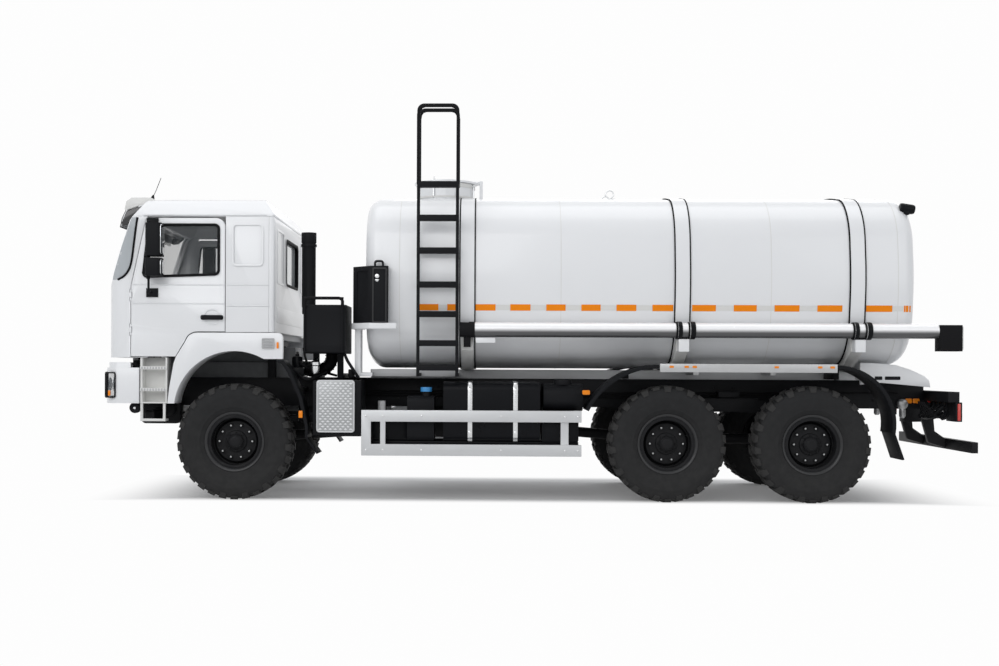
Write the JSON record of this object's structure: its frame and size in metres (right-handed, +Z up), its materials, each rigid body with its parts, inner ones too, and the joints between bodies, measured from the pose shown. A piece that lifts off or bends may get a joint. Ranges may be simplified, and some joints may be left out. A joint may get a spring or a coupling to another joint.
{
  "type": "tanker truck",
  "caption": "All-wheel-drive cab-over water tanker truck with a tilting cab, opening doors, steered front wheels, rounded banded tank, side hose tubes, roof ladder and hinged manhole lid.",
  "frame": {"origin": "centre of the part's bounding box in plan, on the floor under the tyres", "axes": "+X to the rear of the truck, -Y to the driver's side, +Z up"},
  "size_m": [8.805, 2.92, 4.01],
  "materials": {
    "chassis_black": "satin black chassis paint",
    "engine_grey": "cast and painted grey",
    "body_white": "gloss white paint",
    "frame_grey": "satin grey paint",
    "band_cream": "satin off-white paint",
    "lamp_lens": "clear and coloured lamp lenses",
    "black_plastic": "moulded black plastic",
    "guard_silver": "silver paint",
    "chequer_aluminium": "raised-pattern aluminium plate",
    "polished_steel": "polished stainless tube",
    "window_glass": "tinted safety glass",
    "interior_grey": "grey trim and cloth",
    "tyre_rubber": "matt rubber",
    "rim_black": "satin dark grey paint"
  },
  "bodies": {
    "chassis": {"frame": "chassis_black", "engine": "engine_grey", "driveline": "chassis_black", "front_axle": "chassis_black", "rear_axles": "chassis_black", "leaf_springs": "chassis_black", "bumper": "body_white", "lamps": "lamp_lens", "fuel_tank": "black_plastic", "service_tanks": "black_plastic", "battery_box": "black_plastic", "side_guards": "guard_silver", "mudguards": "black_plastic", "walkway_plates": "chequer_aluminium", "air_intake": "black_plastic", "silencer": "engine_grey", "air_tanks": "black_plastic", "rear_beam": "chassis_black", "tail_fairing": "body_white", "tank_subframe": "frame_grey", "tank": "body_white", "tank_bands": "band_cream", "tank_cradles": "band_cream", "hose_tubes": "polished_steel", "hose_clamps": "black_plastic", "ladder": "black_plastic", "tank_bracket": "body_white", "extinguisher_box": "black_plastic"},
    "cab": {"cab_floor": "frame_grey", "cab_front": "body_white", "cab_roof": "body_white", "cab_rear": "body_white", "cab_sides": "body_white", "cab_glass": "window_glass", "cab_fenders": "body_white", "cab_steps": "band_cream", "visor": "body_white", "cab_interior": "interior_grey"},
    "door_left": {"door_left": "body_white", "door_glass_left": "window_glass", "mirror_left": "black_plastic"},
    "door_right": {"door_right": "body_white", "door_glass_right": "window_glass", "mirror_right": "black_plastic"},
    "manhole_lid": {"manhole_lid": "body_white"},
    "knuckle_left": {"knuckle_left": "chassis_black"},
    "knuckle_right": {"knuckle_right": "chassis_black"},
    "tie_rod": {"tie_rod": "chassis_black"},
    "wheel_front_left": {"tyre_front_left": "tyre_rubber", "rim_front_left": "rim_black"},
    "wheel_front_right": {"tyre_front_right": "tyre_rubber", "rim_front_right": "rim_black"},
    "wheel_mid_left": {"tyre_mid_left": "tyre_rubber", "rim_mid_left": "rim_black"},
    "wheel_mid_right": {"tyre_mid_right": "tyre_rubber", "rim_mid_right": "rim_black"},
    "wheel_rear_left": {"tyre_rear_left": "tyre_rubber", "rim_rear_left": "rim_black"},
    "wheel_rear_right": {"tyre_rear_right": "tyre_rubber", "rim_rear_right": "rim_black"}
  },
  "joints": [
    {"name": "cab_tilt", "type": "hinge", "parent": "chassis", "child": "cab", "pos_m": [-4.3125, 0, 1.432], "axis": [0, 1, 0], "range_deg": [-50, 0]},
    {"name": "door_left_hinge", "type": "hinge", "parent": "cab", "child": "door_left", "pos_m": [-4.1215, -1.245, 1.9], "axis": [0, 0, -1], "range_deg": [0, 70]},
    {"name": "door_right_hinge", "type": "hinge", "parent": "cab", "child": "door_right", "pos_m": [-4.1215, 1.245, 1.9], "axis": [0, 0, 1], "range_deg": [0, 70]},
    {"name": "manhole_lid_hinge", "type": "hinge", "parent": "chassis", "child": "manhole_lid", "pos_m": [-0.5855, 0, 3.37], "axis": [0, 1, 0], "range_deg": [0, 110]},
    {"name": "steer_left", "type": "hinge", "parent": "chassis", "child": "knuckle_left", "pos_m": [-3.0725, -0.79, 0.59], "axis": [0, 0, 1], "range_deg": [-32, 32]},
    {"name": "steer_right", "type": "hinge", "parent": "chassis", "child": "knuckle_right", "pos_m": [-3.0725, 0.79, 0.59], "axis": [0, 0, 1], "range_deg": [-32, 32]},
    {"name": "tie_rod_pivot", "type": "hinge", "parent": "knuckle_left", "child": "tie_rod", "pos_m": [-2.7725, -0.79, 0.489], "axis": [0, 0, 1], "range_deg": [-32, 32]},
    {"name": "spin_front_left", "type": "hinge", "parent": "knuckle_left", "child": "wheel_front_left", "pos_m": [-3.0725, -1.04, 0.59], "axis": [0, 1, 0], "continuous": true},
    {"name": "spin_front_right", "type": "hinge", "parent": "knuckle_right", "child": "wheel_front_right", "pos_m": [-3.0725, 1.04, 0.59], "axis": [0, 1, 0], "continuous": true},
    {"name": "spin_mid_left", "type": "hinge", "parent": "chassis", "child": "wheel_mid_left", "pos_m": [1.3025, -1.04, 0.59], "axis": [0, 1, 0], "continuous": true},
    {"name": "spin_mid_right", "type": "hinge", "parent": "chassis", "child": "wheel_mid_right", "pos_m": [1.3025, 1.04, 0.59], "axis": [0, 1, 0], "continuous": true},
    {"name": "spin_rear_left", "type": "hinge", "parent": "chassis", "child": "wheel_rear_left", "pos_m": [2.7525, -1.04, 0.59], "axis": [0, 1, 0], "continuous": true},
    {"name": "spin_rear_right", "type": "hinge", "parent": "chassis", "child": "wheel_rear_right", "pos_m": [2.7525, 1.04, 0.59], "axis": [0, 1, 0], "continuous": true}
  ],
  "couplings": [
    {"joint": "steer_right", "follows": "steer_left", "ratio": 1},
    {"joint": "tie_rod_pivot", "follows": "steer_left", "ratio": -1}
  ]
}
